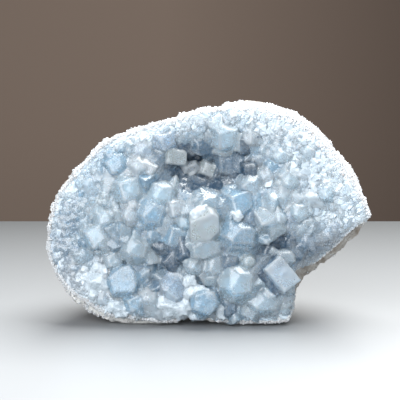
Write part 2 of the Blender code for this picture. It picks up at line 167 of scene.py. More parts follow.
def faceDepth(x, z):
    out = np.minimum(rimShare(x, z), form["followedTo"]) ** form["roundingPower"]
    y = form["faceY"] + form["faceLean"] * z + form["faceRounding"] * out + zonesAt(x, z, form["hollows"])
    fromX, fromZ = form["undercutFrom"]
    toX, toZ = form["undercutTo"]
    below = ((z - fromZ) * (toX - fromX) - (x - fromX) * (toZ - fromZ)) / math.hypot(toX - fromX, toZ - fromZ)
    return y + form["undercutSlope"] * np.maximum(below, 0.0) * spread(toX, toX + form["undercutBlend"], x)


def behindFace(x, z, depths):
    nearRim = spread(*form["depthChange"], rimShare(x, z))
    return faceDepth(x, z) + depths[0] + (depths[1] - depths[0]) * nearRim


def groundDepthAt(x, z):
    return behindFace(x, z, form["groundDepth"])


# outward normals of the ground, as rows
def groundNormal(x, z, step=0.8):
    slopeX = (groundDepthAt(x + step, z) - groundDepthAt(x - step, z)) / (2 * step)
    slopeZ = (groundDepthAt(x, z + step) - groundDepthAt(x, z - step)) / (2 * step)
    normal = np.stack([slopeX, -np.ones_like(slopeX), slopeZ], axis=-1)
    return normal / np.linalg.norm(normal, axis=-1, keepdims=True)


def lowestAt(x):
    across = np.abs((x - form["archX"]) / form["archHalfWidth"])
    return form["lowest"] + form["archHeight"] * np.maximum(1 - across ** 2, 0.0)


# crystals, cut from a block
cutting = {
    "blank": 1.6,          # the block's width and height, for each mm of the crystal's
    "merge": 0.004,        # corners closer than this share of its width become one
    "bevelled": 0.8,       # share of its length that has bevelled edges, from the end
    # faces of chance crystals: range of the turn, of the tilt from the axis, and of the share
    "bluntSide": ((-14, 14), (78, 86), (0.86, 0.98)),
    "bluntSlope": ((-24, 24), (34, 58), (0.76, 0.96)),
    "bluntEnd": ((0, 360), (4, 28), (0.68, 0.9)),
    "side": ((0, 0), (82, 88), (0.84, 0.96)),
    "end": ((0, 360), (4, 30), (0.68, 0.98)),
    "slope": ((-20, 20), (30, 58), (0.55, 0.9)),
    "slopeChance": 0.75,
    "acute": (66, 88),     # the sharper angle between two sides
}


# a convex crystal along +Z with its end at 0, its planes touching an egg of its width and height
def cutCrystal(planes, width, height, length, bevel=0):
    bm = bmesh.new()
    bmesh.ops.create_cube(bm, size=1.0)
    pivot = 0.5 * min(width, height)
    for vertex in bm.verts:
        vertex.co.x *= cutting["blank"] * width
        vertex.co.y *= cutting["blank"] * height
        vertex.co.z = (vertex.co.z - 0.5) * (length + pivot) + pivot
    for azimuth, tilt, share in planes:
        a = math.radians(azimuth)
        t = math.radians(tilt)
        normal = Vector((math.sin(t) * math.cos(a), math.sin(t) * math.sin(a), math.cos(t)))
        across = (width / 2 * normal.x) ** 2 + (height / 2 * normal.y) ** 2
        reach = math.sqrt(across + (pivot * normal.z) ** 2)
        point = Vector((0, 0, -pivot)) + normal * (share * reach)
        geometry = bm.verts[:] + bm.edges[:] + bm.faces[:]
        cut = bmesh.ops.bisect_plane(bm, geom=geometry, plane_co=point, plane_no=normal, clear_outer=True)
        loop = [item for item in cut["geom_cut"] if isinstance(item, bmesh.types.BMEdge)]
        if len(loop) > 2:
            bmesh.ops.contextual_create(bm, geom=loop)
    bmesh.ops.remove_doubles(bm, verts=bm.verts[:], dist=cutting["merge"] * min(width, height))
    top = max(vertex.co.z for vertex in bm.verts)
    for vertex in bm.verts:
        vertex.co.z -= top
    rounded = set()
    if bevel:
        lowest = -cutting["bevelled"] * length
        above = [edge for edge in bm.edges if max(v.co.z for v in edge.verts) > lowest]
        rounded = set(bmesh.ops.bevel(
            bm, geom=above, offset=bevel, offset_type="OFFSET", segments=1, profile=0.5,
            affect="EDGES", clamp_overlap=True,
        )["faces"])
    bmesh.ops.recalc_face_normals(bm, faces=bm.faces[:])
    bm.verts.index_update()
    bm.normal_update()
    shape = {
        "verts": np.array([vertex.co[:] for vertex in bm.verts]),
        "loops": np.array([vertex.index for face in bm.faces for vertex in face.verts]),
        "sizes": np.array([len(face.verts) for face in bm.faces]),
        "bevel": np.array([face in rounded for face in bm.faces]),
        "isEnd": np.array([face.normal.z for face in bm.faces]) > 0.55,
    }
    bm.free()
    return shape


# a rhombic prism under a few end faces, or a blunt crystal of many faces
def chancePlanes(random, blunt=False):
    def plane(turn, kind):
        turns, tilts, shares = cutting[kind]
        more = random.uniform(*turns) if turns[1] else 0
        return (turn + more, random.uniform(*tilts), random.uniform(*shares))

    if blunt:
        planes = [plane(turn, "bluntSide") for turn in range(0, 360, 60)]
        planes += [plane(turn, "bluntSlope") for turn in range(0, 360, 90)]
        return planes + [plane(0, "bluntEnd")]
    base = random.uniform(0, 360)
    acute = random.uniform(*cutting["acute"])
    planes = [plane(base + turn, "side") for turn in (0, acute, 180, 180 + acute)]
    planes.append(plane(0, "end"))
    for turn in (0, 90, 180, 270):
        if random.uniform() < cutting["slopeChance"]:
            planes.append(plane(base + turn, "slope"))
    return planes


# a crystal with smaller ones grown on it almost parallel, as one shape
def parallelGrowth(random, blunt, parts):
    grown = []
    total = 0
    for part in range(parts):
        share = random.uniform(0.38, 0.7) if part else 1.0
        shape = cutCrystal(chancePlanes(random, blunt), share, share, 0.95)
        turn = Matrix.Rotation(random.normal(0, 0.12) if part else 0, 3, "X")
        turn = turn @ Matrix.Rotation(random.normal(0, 0.12) if part else 0, 3, "Y")
        around = random.uniform(0, 2 * math.pi)
        reach = random.uniform(0.25, 0.5) if part else 0
        sunk = random.uniform(0.0, 0.35) if part else 0
        step = (reach * math.cos(around), reach * math.sin(around), -sunk)
        shape["verts"] = shape["verts"] @ np.array(turn).T + step
        shape["loops"] = shape["loops"] + total
        grown.append(shape)
        total += len(shape["verts"])
    return {name: np.concatenate([shape[name] for shape in grown]) for name in grown[0]}


# rows of three axes for each outward direction, turned about it
def crystalAxes(outward, turn):
    up = np.cross(outward, np.array([1.0, 0.0, 0.0]))
    up /= np.linalg.norm(up, axis=-1, keepdims=True)
    right = np.cross(up, outward)
    cosine = np.cos(turn)[..., None]
    sine = np.sin(turn)[..., None]
    return right * cosine + up * sine, up * cosine - right * sine, outward


# many crystals gathered into one mesh, with a colour and a frost value for every face
class Cluster:
    def __init__(self):
        self.verts = []
        self.loops = []
        self.sizes = []
        self.tints = []
        self.total = 0

    def add(self, points, loops, sizes, tints, frosts):
        self.verts.append(points)
        self.loops.append(loops + self.total)
        self.sizes.append(sizes)
        self.tints.append(np.repeat(np.column_stack([tints, frosts]), sizes, axis=0))
        self.total += len(points)

    # one shape at many places: a row of face values in frosts for each place
    def addMany(self, shape, places, axes, scales, tints, frosts):
        right, up, outward = axes
        local = shape["verts"][None] * scales[:, None]
        points = (places[:, None] + local[..., :1] * right[:, None] + local[..., 1:2] * up[:, None]
                  + local[..., 2:] * outward[:, None])
        shifts = len(shape["verts"]) * np.arange(len(places))[:, None]
        self.add(
            points.reshape(-1, 3), (shape["loops"][None] + shifts).ravel(),
            np.tile(shape["sizes"], len(places)),
            np.repeat(tints, len(shape["sizes"]), axis=0), frosts.ravel(),
        )

    def build(self, name, material):
        loops = np.concatenate(self.loops)
        sizes = np.concatenate(self.sizes)
        mesh = bpy.data.meshes.new(name)
        mesh.vertices.add(self.total)
        mesh.vertices.foreach_set("co", (np.concatenate(self.verts) * mm).astype(np.float32).ravel())
        mesh.loops.add(len(loops))
        mesh.loops.foreach_set("vertex_index", loops.astype(np.int32))
        mesh.polygons.add(len(sizes))
        starts = np.concatenate([[0], np.cumsum(sizes)[:-1]])
        mesh.polygons.foreach_set("loop_start", starts.astype(np.int32))
        mesh.update(calc_edges=True)
        mesh.validate()
        mesh.shade_flat()
        tint = mesh.attributes.new("crystalTint", "FLOAT_COLOR", "CORNER")
        tint.data.foreach_set("color", np.concatenate(self.tints).astype(np.float32).ravel())
        mesh.materials.append(material)
        item = bpy.data.objects.new(name, mesh)
        bpy.context.scene.collection.objects.link(item)
        print(name, "made:", len(sizes), "faces,", int((sizes - 2).sum()), "triangles")
        return item


def readAll(items, name, width=1, kind=np.float32):
    values = np.empty(len(items) * width, dtype=kind)
    items.foreach_get(name, values)
    return values.reshape(-1, width) if width > 1 else values


# gives the object one fused skin, and returns it with its points and normals
def fuse(item, voxel, smoothing=0):
    remesh = item.modifiers.new("fused", "REMESH")
    remesh.mode = "VOXEL"
    remesh.voxel_size = voxel * mm
    if smoothing:
        soften = item.modifiers.new("soften", "SMOOTH")
        soften.factor = 0.5
        soften.iterations = smoothing
    skin = bpy.data.meshes.new_from_object(item.evaluated_get(bpy.context.evaluated_depsgraph_get()))
    item.modifiers.clear()
    item.data = skin
    points = readAll(skin.vertices, "co", 3).astype(float)
    return skin, points, readAll(skin.vertex_normals, "vector", 3).astype(float)


refining = {
    "broad": 2.6,              # sizes of the unevenness
    "fine": 0.9,
    "soften": 0.22,            # how far each point moves to the middle of its neighbours
    "rounds": 3,               # averaged so often to find where the skin is convex
    # whitening of the convex edges: frost and painted highlight together
    "frostGain": 2.2,
    "frostFrom": 0.12,
    "darkKeeps": 0.12,         # share of the frost that the darkest crystals still get
    "brightFrom": 0.6,
    "hollowShade": 0.22,       # painted shade: how much darker the grooves between crystals are
    "shadeGain": 2.0,
    "shadeFrom": 0.1,
    "sharpFrom": 26,           # degrees
}


# fuses a cluster into one skin, softens and roughens it, whitens its convex edges with frost and painted
# highlight, and paints shade into the grooves between crystals
def refine(item, look):
    source = item.data
    points = [vertex.co.copy() for vertex in source.vertices]
    tree = BVHTree.FromPolygons(points, [polygon.vertices[:] for polygon in source.polygons])
    starts = readAll(source.polygons, "loop_start", kind=np.int32)
    faceTints = readAll(source.attributes["crystalTint"].data, "color", 4)[starts]
    skin, place, normal = fuse(item, look["voxel"])
    skin.name = item.name
    count = len(place)
    tint = np.array([faceTints[tree.find_nearest(Vector(point))[2]] for point in place])
    broad, fine = look["relief"]
    rough = broad * noiseAt(place / mm, refining["broad"])
    rough += fine * noiseAt(place / mm, refining["fine"], (9, 4, 2))
    edges = readAll(skin.edges, "vertices", 2, np.int32)
    around = np.maximum(np.bincount(edges.ravel(), minlength=count), 1)[:, None]

    def average(values):
        total = np.zeros_like(values)
        np.add.at(total, edges[:, 0], values[edges[:, 1]])
        np.add.at(total, edges[:, 1], values[edges[:, 0]])
        return total / around

    place += normal * (rough * mm)[:, None]
    place = (1 - refining["soften"]) * place + refining["soften"] * average(place)
    smooth = place
    for _ in range(refining["rounds"]):
        smooth = average(smooth)
    convex = average(((place - smooth) * normal).sum(axis=1, keepdims=True) / (look["voxel"] * mm))[:, 0]
    brightness = np.clip(tint[:, :3].mean(axis=1) / refining["brightFrom"], refining["darkKeeps"], 1)
    # white frost and painted highlight on the convex edges
    frost = np.clip(convex * refining["frostGain"] - refining["frostFrom"], 0, 1)
    tint[:, 3] = np.clip(tint[:, 3] + look["edgeFrostAndHighlight"] * brightness * frost, 0, 1)
    # painted shade in the concave grooves between crystals
    paintedGrooveShade = np.clip(-convex * refining["shadeGain"] - refining["shadeFrom"], 0, 1)
    tint[:, :3] *= (1 - refining["hollowShade"] * paintedGrooveShade)[:, None]
    place[:, 2] = np.maximum(place[:, 2], form["lowest"] * mm)
    skin.vertices.foreach_set("co", place.astype(np.float32).ravel())
    corner = readAll(skin.loops, "vertex_index", kind=np.int32)
    made = skin.attributes.new("crystalTint", "FLOAT_COLOR", "CORNER")
    made.data.foreach_set("color", tint[corner].astype(np.float32).ravel())
    skin.shade_smooth()
    skin.set_sharp_from_angle(angle=math.radians(refining["sharpFrom"]))
    skin.update()
    print(item.name, "refined:", 2 * len(skin.polygons), "triangles")


def claim(piece, node):
    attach(piece, "root")
    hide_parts(node)


# materials

def addNode(tree, kind, x, y, inputs=None, **settings):
    node = tree.nodes.new("ShaderNode" + kind)
    node.location = (x, y)
    for name, value in settings.items():
        setattr(node, name, value)
    for name, value in (inputs or {}).items():
        node.inputs[name].default_value = value
    return node


# each line has a node and its output, then the node that it feeds and the input there
def wire(tree, *lines):
    for source, output, target, entry in lines:
        tree.links.new(source.outputs[output], target.inputs[entry])


# a noise texture, and the patches where it lies above low
def addPatches(tree, x, y, inputs, low, high, top=1.0):
    texture = addNode(tree, "TexNoise", x, y, inputs)
    patches = addNode(tree, "MapRange", x + 200, y, {"From Min": low, "From Max": high, "To Max": top})
    wire(tree, (texture, "Fac", patches, "Value"))
    return texture, patches


def newGroup(name, inputs, outputs):
    group = bpy.data.node_groups.new(name, "ShaderNodeTree")
    for label, kind, value in inputs:
        socket = group.interface.new_socket(label, in_out="INPUT", socket_type="NodeSocket" + kind)
        socket.default_value = value
    for label, kind in outputs:
        group.interface.new_socket(label, in_out="OUTPUT", socket_type="NodeSocket" + kind)
    ins = group.nodes.new("NodeGroupInput")
    ins.location = (-1000, 0)
    outs = group.nodes.new("NodeGroupOutput")
    outs.location = (700, 0)
    return group, ins, outs


def newMaterial(name, values):
    material = bpy.data.materials.new(name)
    material.use_nodes = True
    tree = material.node_tree
    shader = tree.nodes["Principled BSDF"]
    for label, value in values.items():
        shader.inputs[label].default_value = value
    return material, tree, shader


# clouds and veils in the colour, rougher frosted faces and a fine broken relief
def makeGrainGroup():
    group, ins, outs = newGroup("mineralGrain", (
        ("Color", "Color", (0.6, 0.7, 0.8, 1)), ("Frost Color", "Color", (0.9, 0.9, 0.9, 1)),
        ("Frost", "Float", 0.2), ("Cloud Size", "Float", 180.0), ("Veil Size", "Float", 520.0),
        ("Grain Size", "Float", 1400.0), ("Cloud Amount", "Float", 0.3), ("Smooth Roughness", "Float", 0.12),
        ("Frosted Roughness", "Float", 0.5),
    ), (("Color", "Color"), ("Roughness", "Float"), ("Height", "Float")))
    place = addNode(group, "TexCoord", -1000, -400)
    cloud, clouds = addPatches(group, -650, -150, {"Detail": 5.0, "Roughness": 0.62}, 0.42, 0.72)
    veil, veils = addPatches(group, -650, 100, {"Detail": 4.0, "Distortion": 1.6}, 0.50, 0.66, 0.5)
    both = addNode(group, "Math", -350, -20, operation="ADD")
    amount = addNode(group, "Math", -250, -150, operation="MULTIPLY")
    total = addNode(group, "Math", -60, -60, operation="ADD", use_clamp=True)
    mix = addNode(group, "Mix", 200, 120, data_type="RGBA")
    grain = addNode(group, "TexNoise", -650, -480, {"Detail": 3.0})
    pits = addNode(group, "TexVoronoi", -650, -720, feature="F1")
    relief = addNode(group, "Math", -250, -560, operation="MULTIPLY")
    frosted = addNode(group, "Math", 0, -500, {1: 0.8, 2: 0.12}, operation="MULTIPLY_ADD")
    height = addNode(group, "Math", 220, -480, operation="MULTIPLY")
    rough = addNode(group, "Mix", 200, -180, data_type="FLOAT")
    for texture, size in (
        (cloud, "Cloud Size"), (veil, "Veil Size"), (grain, "Grain Size"), (pits, "Grain Size"),
    ):
        wire(group, (place, "Object", texture, "Vector"), (ins, size, texture, "Scale"))
    wire(
        group,
        (clouds, "Result", both, 0), (veils, "Result", both, 1), (both, 0, amount, 0),
        (ins, "Cloud Amount", amount, 1), (amount, 0, total, 0), (ins, "Frost", total, 1),
        (total, 0, mix, "Factor"), (ins, "Color", mix, "A"), (ins, "Frost Color", mix, "B"),
        (mix, "Result", outs, "Color"), (total, 0, rough, "Factor"),
        (ins, "Smooth Roughness", rough, "A"), (ins, "Frosted Roughness", rough, "B"),
        (rough, "Result", outs, "Roughness"), (grain, "Fac", relief, 0), (pits, "Distance", relief, 1),
        (total, 0, frosted, 0), (relief, 0, height, 0), (frosted, 0, height, 1),
        (height, 0, outs, "Height"),
    )
    return group


# absorb is for each metre of crystal
crystalLook = {
    "celestiteClear": {
        "transmission": 0.70, "smooth": 0.15, "frosted": 0.42, "cloud": 0.5, "bump": 0.06, "absorb": 75.0,
    },
    "celestiteMilky": {
        "transmission": 0.56, "smooth": 0.27, "frosted": 0.4, "cloud": 0.4, "bump": 0.2, "absorb": 40.0,
    },
    "celestiteSugar": {
        "transmission": 0.30, "smooth": 0.2, "frosted": 0.5, "cloud": 0.3, "bump": 0.4, "absorb": 0.0,
    },
}
crystalBody = {"ior": 1.62, "bumpDistance": 0.0006, "absorbed": (0.34, 0.73, 0.88, 1)}


def crystalMaterial(name, grainGroup):
    look = crystalLook[name]
    material, tree, shader = newMaterial(name, {
        "IOR": crystalBody["ior"], "Metallic": 0.0, "Transmission Weight": look["transmission"],
    })
    tint = addNode(tree, "Attribute", -900, 100, attribute_name="crystalTint")
    grain = addNode(tree, "Group", -600, 100, {
        "Frost Color": (*linear(colours["frost"]), 1), "Cloud Amount": look["cloud"],
        "Smooth Roughness": look["smooth"], "Frosted Roughness": look["frosted"],
    }, node_tree=grainGroup)
    bump = addNode(tree, "Bump", -300, -200, {
        "Strength": look["bump"], "Distance": crystalBody["bumpDistance"],
    })
    wire(
        tree,
        (tint, "Color", grain, "Color"), (tint, "Alpha", grain, "Frost"),
        (grain, "Color", shader, "Base Color"), (grain, "Roughness", shader, "Roughness"),
        (grain, "Height", bump, "Height"), (bump, "Normal", shader, "Normal"),
    )
    if look["absorb"]:
        absorb = addNode(tree, "VolumeAbsorption", 0, -500, {
            "Color": crystalBody["absorbed"], "Density": look["absorb"],
        })
        wire(tree, (absorb, "Volume", tree.nodes["Material Output"], "Volume"))
    return material


# the stone

stone = {
    "pale": (0.68, 0.67, 0.65),
    # clay: brown earth colour, which under the tip also carries painted shade
    "clayAndShade": (0.50, 0.455, 0.405),
    "dark": (0.33, 0.30, 0.28),
    "white": (0.92, 0.92, 0.91),
    "patchSize": 55.0,         # scales of its textures
    "grainSize": 420.0,
    "fineSize": 900.0,
    "specks": 0.55,
    "voxel": 0.95,
    "smoothing": 8,
    "lumps": ((7.0, 1.1), (3.2, 0.75), (1.7, 0.45)),    # size and height
    "pitSize": 5.0,
    "pitDepth": 3.3,
    "pitFrom": 0.28,
    "flatUnder": 0.5,          # the foot, up to this height, stays flat
    "footRoughness": 0.2,
    "seatRoughness": 0.3,
    "bareTo": (6, 16),         # behind the rim the bare stone under the tip ends between these
    "gritSize": 1.5,
    "gritDepth": 2.2,
    "gritFrom": 0.05,
    "waveSize": 6,
    "whiteBand": 7.0,          # crystalline band behind the rim
    "whiteWaves": 0.9,
    "whiteLost": (0.35, 1.0),  # shares of the band's width between which it fades
}


def stoneMaterial():
    material, tree, shader = newMaterial("geodeStone", {"Metallic": 0.0})
    place = addNode(tree, "TexCoord", -1500, 0)
    sugar = addNode(tree, "Attribute", -1100, 420, attribute_name="sugar")
    # brown earth and painted shade on the bare stone under the right tip
    earthAndShade = addNode(tree, "Attribute", -1300, 420, attribute_name="earthAndShade")
    patch, patches = addPatches(tree, -1300, 150, {"Scale": stone["patchSize"], "Detail": 6.0}, 0.46, 0.62)
    grain, grains = addPatches(tree, -1300, -150, {"Scale": stone["grainSize"], "Detail": 4.0}, 0.56, 0.70)
    pits = addNode(tree, "TexVoronoi", -1300, -450, {"Scale": stone["fineSize"]})
    clayAndShadeShare = addNode(tree, "Math", -950, 250, operation="MAXIMUM")
    clayAndShade = addNode(tree, "Mix", -800, 150, data_type="RGBA")
    clayAndShade.inputs["A"].default_value = (*linear(stone["pale"]), 1)
    clayAndShade.inputs["B"].default_value = (*linear(stone["clayAndShade"]), 1)
    specks = addNode(tree, "Mix", -550, 100, data_type="RGBA")
    specks.inputs["B"].default_value = (*linear(stone["dark"]), 1)
    white = addNode(tree, "Mix", -300, 200, data_type="RGBA")
    white.inputs["B"].default_value = (*linear(stone["white"]), 1)
    part = addNode(tree, "Math", -900, -150, {1: stone["specks"]}, operation="MULTIPLY")
    roughness = addNode(tree, "MapRange", -550, -120, {"To Min": 0.95, "To Max": 0.6})
    height = addNode(tree, "Math", -800, -400, operation="ADD")
    bump = addNode(tree, "Bump", -300, -350, {"Strength": 0.7, "Distance": 0.0008})
    for texture in (patch, grain, pits):
        wire(tree, (place, "Object", texture, "Vector"))
    wire(
        tree,
        (patches, "Result", clayAndShadeShare, 0), (earthAndShade, "Fac", clayAndShadeShare, 1), (clayAndShadeShare, 0, clayAndShade, "Factor"),
        (clayAndShade, "Result", specks, "A"), (grains, "Result", part, 0), (part, 0, specks, "Factor"),
        (specks, "Result", white, "A"), (sugar, "Fac", white, "Factor"),
        (white, "Result", shader, "Base Color"), (sugar, "Fac", roughness, "Value"),
        (roughness, "Result", shader, "Roughness"), (grain, "Fac", height, 0),
        (pits, "Distance", height, 1), (height, 0, bump, "Height"), (bump, "Normal", shader, "Normal"),
    )
    return material


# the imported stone, remeshed fine and roughened
def makeRind(material):
    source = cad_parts["rind"]
    rind = bpy.data.objects.new("rindStone", source.data.copy())
    bpy.context.scene.collection.objects.link(rind)
    rind.matrix_world = source.matrix_world
    skin, points, normals = fuse(rind, stone["voxel"], stone["smoothing"])
    points /= mm
    x, y, z = points.T
    pits = np.maximum(noiseAt(points, stone["pitSize"], (40, 7, 3)) - stone["pitFrom"], 0.0)
    swell = sum(height * noiseAt(points, size) for size, height in stone["lumps"]) - stone["pitDepth"] * pits
    onBase = z < stone["flatUnder"]
    behindRim = y - behindFace(x, z, form["seatDepth"])
    inSeat = (behindRim < 1.0) & (rimShare(x, z) < 0.98)
    swell = np.where(inSeat, (np.minimum(swell, 0) - 1) * stone["seatRoughness"], swell)
    swell = np.where(onBase, np.minimum(swell, 0.0) * stone["footRoughness"], swell)
    bare = between(angleAt(x, z), form["bareUnderTip"]) * (1 - spread(*stone["bareTo"], behindRim))
    grit = noiseAt(points, stone["gritSize"])
    swell -= stone["gritDepth"] * bare * np.maximum(grit - stone["gritFrom"], 0)
    moved = points + normals * swell[:, None]
    moved[:, 2] = np.maximum(moved[:, 2], 0.0)
    moved[onBase & (normals[:, 2] < -0.9), 2] = 0.0
    skin.vertices.foreach_set("co", (moved * mm).astype(np.float32).ravel())
    wave = noiseAt(moved, stone["waveSize"])
    band = 1 - spread(*stone["whiteLost"], behindRim / stone["whiteBand"] + stone["whiteWaves"] * wave)
    whiteness = band * (0.7 + 0.3 * spread(0, form["middle"][1], moved[:, 2])) * (1 - 0.9 * bare)
    # brown earth and painted shade on the bare stone under the tip
    clayAndShade = np.clip(bare * (0.55 + 0.6 * grit + 0.6 * wave), 0, 1)
    for name, values in (("sugar", whiteness), ("earthAndShade", clayAndShade)):
        skin.attributes.new(name, "FLOAT", "POINT").data.foreach_set("value", values.astype(np.float32))
    skin.update()
    skin.shade_smooth()
    skin.materials.clear()
    skin.materials.append(material)
    claim(rind, "rind")
    print("rindStone made:", len(skin.polygons), "faces")
    return rind


# colours of the crystals by place: x, z, half width, half height, how much
zones = {
    "white": (
        (52, 62, 24, 30, 0.65), (24, 86, 24, 9, 0.65), (-24, 82, 18, 7, 0.6), (-50, 60, 15, 13, 0.4),
        (-49, 19, 9, 9, 0.9), (-17, 8, 10, 7, 0.9), (-2, 9, 10, 9, 0.3), (-31, 70, 8, 8, 0.6),
        (-38, 11, 13, 9, 0.9), (-16, 6, 12, 5, 0.5), (36, 60, 14, 12, 0.5), (32, 8, 8, 8, 0.3),
        (-35, 47, 7, 7, 0.4),
    ),
    # steel and deep blue: partly the crystals' own colour, partly painted shade in the hollows and the middle
    # band
    "blueAndShade": (
        (1, 67, 16, 9, 1.8), (0, 32, 22, 7, 0.6), (18, 38, 12, 8, 0.5), (0, 62, 8, 2.5, 1.0),
        (-12, 66, 14, 10, 1.1), (25, 34, 12, 8, 1.8), (22, 35, 6, 4, 0.8), (-24, 27, 14, 10, 0.7),
        (-62, 40, 6, 12, 0.35), (14, 40, 10, 6, 0.45), (-44, 72, 7, 5, 0.45), (-58, 46, 5, 5, 0.5),
        (-8, 34, 14, 7, 0.5), (38, 32, 9, 6, 0.45), (8, 10, 8, 7, 0.5), (-40, 34, 13, 8, 0.6),
        (56, 37, 11, 6, 0.2),
    ),
    # grey: partly the crystals' own tone, partly painted shade under the overhang of the right tip
    "greyAndShade": (
        (-58, 20, 8, 10, 0.8), (54, 36, 14, 6, 0.9), (40, 26, 8, 6, 0.7), (-63, 38, 5, 14, 0.6),
        (-14, 58, 9, 5, 0.4), (22, 10, 10, 8, 0.4), (26, 82, 10, 6, 0.4),
    ),
    "palette": {"ice": 0.34, "sky": 0.22, "clear": 0.18, "lavender": 0.1, "white": 0.1, "greyGreen": 0.06},
}


def wavesAt(x, z, size, seed):
    return np.array([noise.noise(Vector((px / size, pz / size, seed))) for px, pz in zip(x, z)])


# 1 where the crystals are steel blue, partly their own colour and partly painted shade in the hollows, 0
# where they are pale
def deepAt(x, z):
    return np.clip(zonesAt(x, z, zones["blueAndShade"]) + 0.5 * wavesAt(x, z, 6.0, 9.0), 0, 1.3)


# 1 where they are white and sugary instead of clear
def whitenessAt(x, z):
    atRim = 0.45 * spread(0.86, 1.0, rimShare(x, z)) * spread(20, 50, z)
    white = atRim + zonesAt(x, z, zones["white"]) - 0.5 * zonesAt(x, z, zones["blueAndShade"])
    return np.clip(white + 0.6 * wavesAt(x, z, 4.0, 3.0), 0, 1)


# colour of each crystal, with painted shade in the hollows and under the right tip, how deep a blue it has
# and how white it is
def tintsFor(random, x, z):
    deepBlueAndShade = deepAt(x, z)
    whiteness = whitenessAt(x, z)
    palette = np.array([tintOf(name) for name in zones["palette"]])
    tint = palette[random.choice(len(palette), size=len(x), p=tuple(zones["palette"].values()))]
    for name, much in (
        ("greyAndShade", np.clip(zonesAt(x, z, zones["greyAndShade"]), 0, 1)), ("steelBlueAndShade", 0.9 * np.minimum(deepBlueAndShade, 1)),
        ("deepBlueAndShade", 0.9 * spread(0.7, 1.2, deepBlueAndShade)), ("white", 0.75 * whiteness),
    ):
        tint = tint + (tintOf(name) - tint) * much[:, None]
    return tint, deepBlueAndShade, whiteness


# the ground that the crystals grew on

ground = {
    "seed": 3,
    "around": 220,
    "rings": 80,
    "edgeFrom": 0.47 * math.pi,    # polar angle of the sphere it is made of where its edge begins
    "behindSeat": -0.35,
    "intoStone": 1.9,              # its edge reaches so much further back
    "facet": 2.4,
    "facetHeight": 1.6,
    "facetDown": 0.9,
    "edgeWave": 1.1,
    "edgeWaveSize": 2.2,
    "edgeWaveFrom": 0.96,
}


# a closed plate over the stone, broken into small facets
def makeGround(material):
    columns = ground["around"]
    edgeFrom = ground["edgeFrom"]
    polar = np.linspace(0, math.pi, 2 * ground["rings"] + 1)[1:-1]
    angle = np.linspace(-math.pi, math.pi, columns, endpoint=False)
    share = (np.minimum(np.minimum(polar, math.pi - polar), edgeFrom) / edgeFrom)[:, None]
    x, z = fromMiddle(angle[None], share * crustRadius(angle)[None])
    z = np.maximum(z, lowestAt(x))
    front = groundDepthAt(x, z)
    back = behindFace(x, z, form["seatDepth"]) + ground["behindSeat"]
    back = back + ground["intoStone"] * spread(0.9, 1.0, share)
    y = front + (back - front) * spread(edgeFrom, math.pi - edgeFrom, polar)[:, None]
    points = np.stack([x, y, z], axis=-1)
    edge = np.nonzero(np.abs(polar - math.pi / 2) < math.pi / 2 - ground["edgeWaveFrom"] * edgeFrom)[0]
    wave = noiseAt(points[edge].reshape(-1, 3), ground["edgeWaveSize"])
    wave = ground["edgeWave"] * wave.reshape(-1, columns)
    points[edge, :, 0] += wave * np.cos(angle)
    points[edge, :, 2] += wave * np.sin(angle)
    points[:, :, 2] = np.maximum(points[:, :, 2], lowestAt(points[:, :, 0]))
    ahead = np.nonzero(polar < edgeFrom)[0]
    cells = [noise.voronoi(Vector(point) / ground["facet"])[0][0] for point in points[ahead].reshape(-1, 3)]
    points[ahead, :, 1] += np.reshape(cells, (-1, columns)) * ground["facetHeight"] - ground["facetDown"]
    points[:, :, 1] = np.minimum(points[:, :, 1], back)
    flat = points.reshape(-1, 3)
    index = np.arange(len(flat)).reshape(-1, columns)
    following = np.roll(index, -1, axis=1)
    quads = np.stack([index[:-1], index[1:], following[1:], following[:-1]], axis=-1).reshape(-1, 4)
    ends = np.concatenate([
        np.stack([np.full(columns, len(flat)), index[0], following[0]], axis=-1),
        np.stack([np.full(columns, len(flat) + 1), following[-1], index[-1]], axis=-1),
    ])
    flat = np.concatenate([flat, [flat[:columns].mean(axis=0), flat[-columns:].mean(axis=0)]])
    first = flat[np.concatenate([quads[:, 0], ends[:, 0]])]
    tint, deepBlueAndShade, whiteness = tintsFor(np.random.default_rng(ground["seed"]), first[:, 0], first[:, 2])
    cluster = Cluster()
    cluster.add(
        flat, np.concatenate([quads.ravel(), ends.ravel()]), np.repeat([4, 3], [len(quads), len(ends)]), tint,
        np.clip(0.15 + 0.6 * whiteness - 0.15 * deepBlueAndShade, 0, 1),
    )
    claim(cluster.build("crystalGround", material), "crystal_crust")


# the larger crystals

